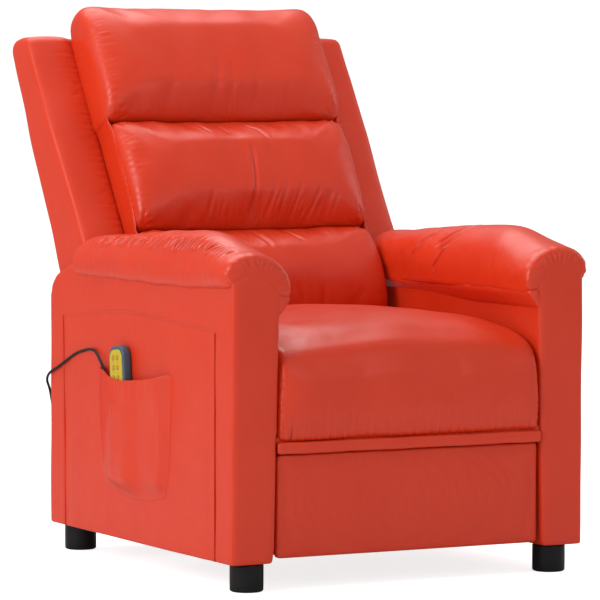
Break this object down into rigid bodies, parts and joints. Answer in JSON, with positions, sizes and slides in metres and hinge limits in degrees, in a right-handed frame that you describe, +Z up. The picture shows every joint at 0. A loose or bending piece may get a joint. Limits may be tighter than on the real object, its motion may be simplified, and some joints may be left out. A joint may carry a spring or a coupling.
{
  "type": "massage chair",
  "caption": "Upholstered push-back massage recliner with padded arms, tilting back, folding footrest and a wired handset in a side pocket.",
  "frame": {"origin": "on the floor under the middle of the object's box", "axes": "-Y towards the sitter's front, +X to the sitter's left, +Z up"},
  "size_m": [0.7552, 0.975, 1.0366],
  "materials": {
    "leather": "glossy orange-red artificial leather",
    "wood": "raw plywood",
    "steel": "black powder coat",
    "spring_steel": "plain drawn wire",
    "black_plastic": "satin black",
    "cord_rubber": "smooth black sheath",
    "grey_plastic": "satin blue-grey",
    "yellow_plastic": "satin yellow",
    "key_plastic": "soft dark yellow",
    "heat_felt": "grey felt"
  },
  "bodies": {
    "base": {"foot_front_left": "black_plastic", "foot_front_right": "black_plastic", "foot_rear_left": "black_plastic", "foot_rear_right": "black_plastic", "arm_shell_left": "leather", "arm_shell_right": "leather", "arm_frame_left": "wood", "arm_frame_right": "wood", "arm_pad_left": "leather", "arm_pad_right": "leather", "seat_front_rail": "wood", "seat_rear_rail": "wood", "rear_panel": "leather", "seat_spring_1": "spring_steel", "seat_spring_2": "spring_steel", "seat_spring_3": "spring_steel", "seat_cushion": "leather", "seat_apron": "leather", "mechanism_plate_left": "steel", "mechanism_plate_right": "steel", "back_pivot_left": "steel", "back_pivot_right": "steel", "side_pocket": "leather", "control_box": "black_plastic", "power_inlet": "black_plastic", "cord_gland": "black_plastic", "handset_cord": "cord_rubber", "seat_motor": "steel"},
    "back": {"back_shell": "leather", "back_frame": "wood", "head_cushion": "leather", "middle_cushion": "leather", "lumbar_cushion": "leather", "heat_pad": "heat_felt", "back_motor_lower": "steel", "back_motor_upper": "steel"},
    "rear_links": {"rear_links": "steel"},
    "front_links": {"front_link_left": "steel", "front_link_right": "steel"},
    "lower_links": {"lower_link_left": "steel", "lower_link_right": "steel"},
    "upper_links": {"upper_link_left": "steel", "upper_link_right": "steel"},
    "footrest": {"footrest_bracket_left": "steel", "footrest_bracket_right": "steel", "footrest_board": "wood", "footrest_pad": "leather"},
    "handset": {"handset_shell": "grey_plastic", "handset_face": "yellow_plastic", "handset_strain_relief": "cord_rubber"},
    "seat_motor_weight": {"seat_motor_weight": "steel"},
    "back_motor_lower_weight": {"back_motor_lower_weight": "steel"},
    "back_motor_upper_weight": {"back_motor_upper_weight": "steel"},
    "key_1a": {"key_1a": "key_plastic"},
    "key_1b": {"key_1b": "key_plastic"},
    "key_2a": {"key_2a": "key_plastic"},
    "key_2b": {"key_2b": "key_plastic"},
    "key_3a": {"key_3a": "key_plastic"},
    "key_3b": {"key_3b": "key_plastic"},
    "key_wide": {"key_wide": "key_plastic"}
  },
  "joints": [
    {"name": "back_recline", "type": "hinge", "parent": "base", "child": "back", "pos_m": [0, 0.123, 0.356], "axis": [-1, 0, 0], "range_deg": [0, 30]},
    {"name": "footrest_fold", "type": "hinge", "parent": "base", "child": "rear_links", "pos_m": [0, -0.377, 0.235], "axis": [-1, 0, 0], "range_deg": [0, 95]},
    {"name": "footrest_front_links", "type": "hinge", "parent": "base", "child": "front_links", "pos_m": [0, -0.3494, 0.2135], "axis": [-1, 0, 0], "range_deg": [0, 95]},
    {"name": "footrest_lower_links", "type": "hinge", "parent": "rear_links", "child": "lower_links", "pos_m": [0, -0.33688, 0.08528], "axis": [-1, 0, 0], "range_deg": [-95, 0]},
    {"name": "footrest_upper_links", "type": "hinge", "parent": "rear_links", "child": "upper_links", "pos_m": [0, -0.34827, 0.12778], "axis": [-1, 0, 0], "range_deg": [-95, 0]},
    {"name": "footrest_panel", "type": "hinge", "parent": "lower_links", "child": "footrest", "pos_m": [0, -0.4245, 0.19], "axis": [-1, 0, 0], "range_deg": [0, 95]},
    {"name": "handset_lift", "type": "slide", "parent": "base", "child": "handset", "axis": [0, 0.1045, 0.9945], "range_m": [0, 0.12]},
    {"name": "motor_seat_spin", "type": "hinge", "parent": "base", "child": "seat_motor_weight", "pos_m": [0, -0.177, 0.232], "axis": [1, 0, 0], "continuous": true},
    {"name": "motor_lower_spin", "type": "hinge", "parent": "back", "child": "back_motor_lower_weight", "pos_m": [0, 0.16585, 0.48258], "axis": [1, 0, 0], "continuous": true},
    {"name": "motor_upper_spin", "type": "hinge", "parent": "back", "child": "back_motor_upper_weight", "pos_m": [0, 0.27085, 0.66444], "axis": [1, 0, 0], "continuous": true},
    {"name": "key_1a_press", "type": "slide", "parent": "handset", "child": "key_1a", "axis": [1, 0, 0], "range_m": [0, 0.0012], "stiffness_N_per_m": 300},
    {"name": "key_1b_press", "type": "slide", "parent": "handset", "child": "key_1b", "axis": [1, 0, 0], "range_m": [0, 0.0012], "stiffness_N_per_m": 300},
    {"name": "key_2a_press", "type": "slide", "parent": "handset", "child": "key_2a", "axis": [1, 0, 0], "range_m": [0, 0.0012], "stiffness_N_per_m": 300},
    {"name": "key_2b_press", "type": "slide", "parent": "handset", "child": "key_2b", "axis": [1, 0, 0], "range_m": [0, 0.0012], "stiffness_N_per_m": 300},
    {"name": "key_3a_press", "type": "slide", "parent": "handset", "child": "key_3a", "axis": [1, 0, 0], "range_m": [0, 0.0012], "stiffness_N_per_m": 300},
    {"name": "key_3b_press", "type": "slide", "parent": "handset", "child": "key_3b", "axis": [1, 0, 0], "range_m": [0, 0.0012], "stiffness_N_per_m": 300},
    {"name": "key_wide_press", "type": "slide", "parent": "handset", "child": "key_wide", "axis": [1, 0, 0], "range_m": [0, 0.0012], "stiffness_N_per_m": 300}
  ],
  "couplings": [
    {"joint": "footrest_front_links", "follows": "footrest_fold", "ratio": 1},
    {"joint": "footrest_lower_links", "follows": "footrest_fold", "ratio": -1},
    {"joint": "footrest_upper_links", "follows": "footrest_fold", "ratio": -1},
    {"joint": "footrest_panel", "follows": "footrest_fold", "ratio": 1}
  ]
}
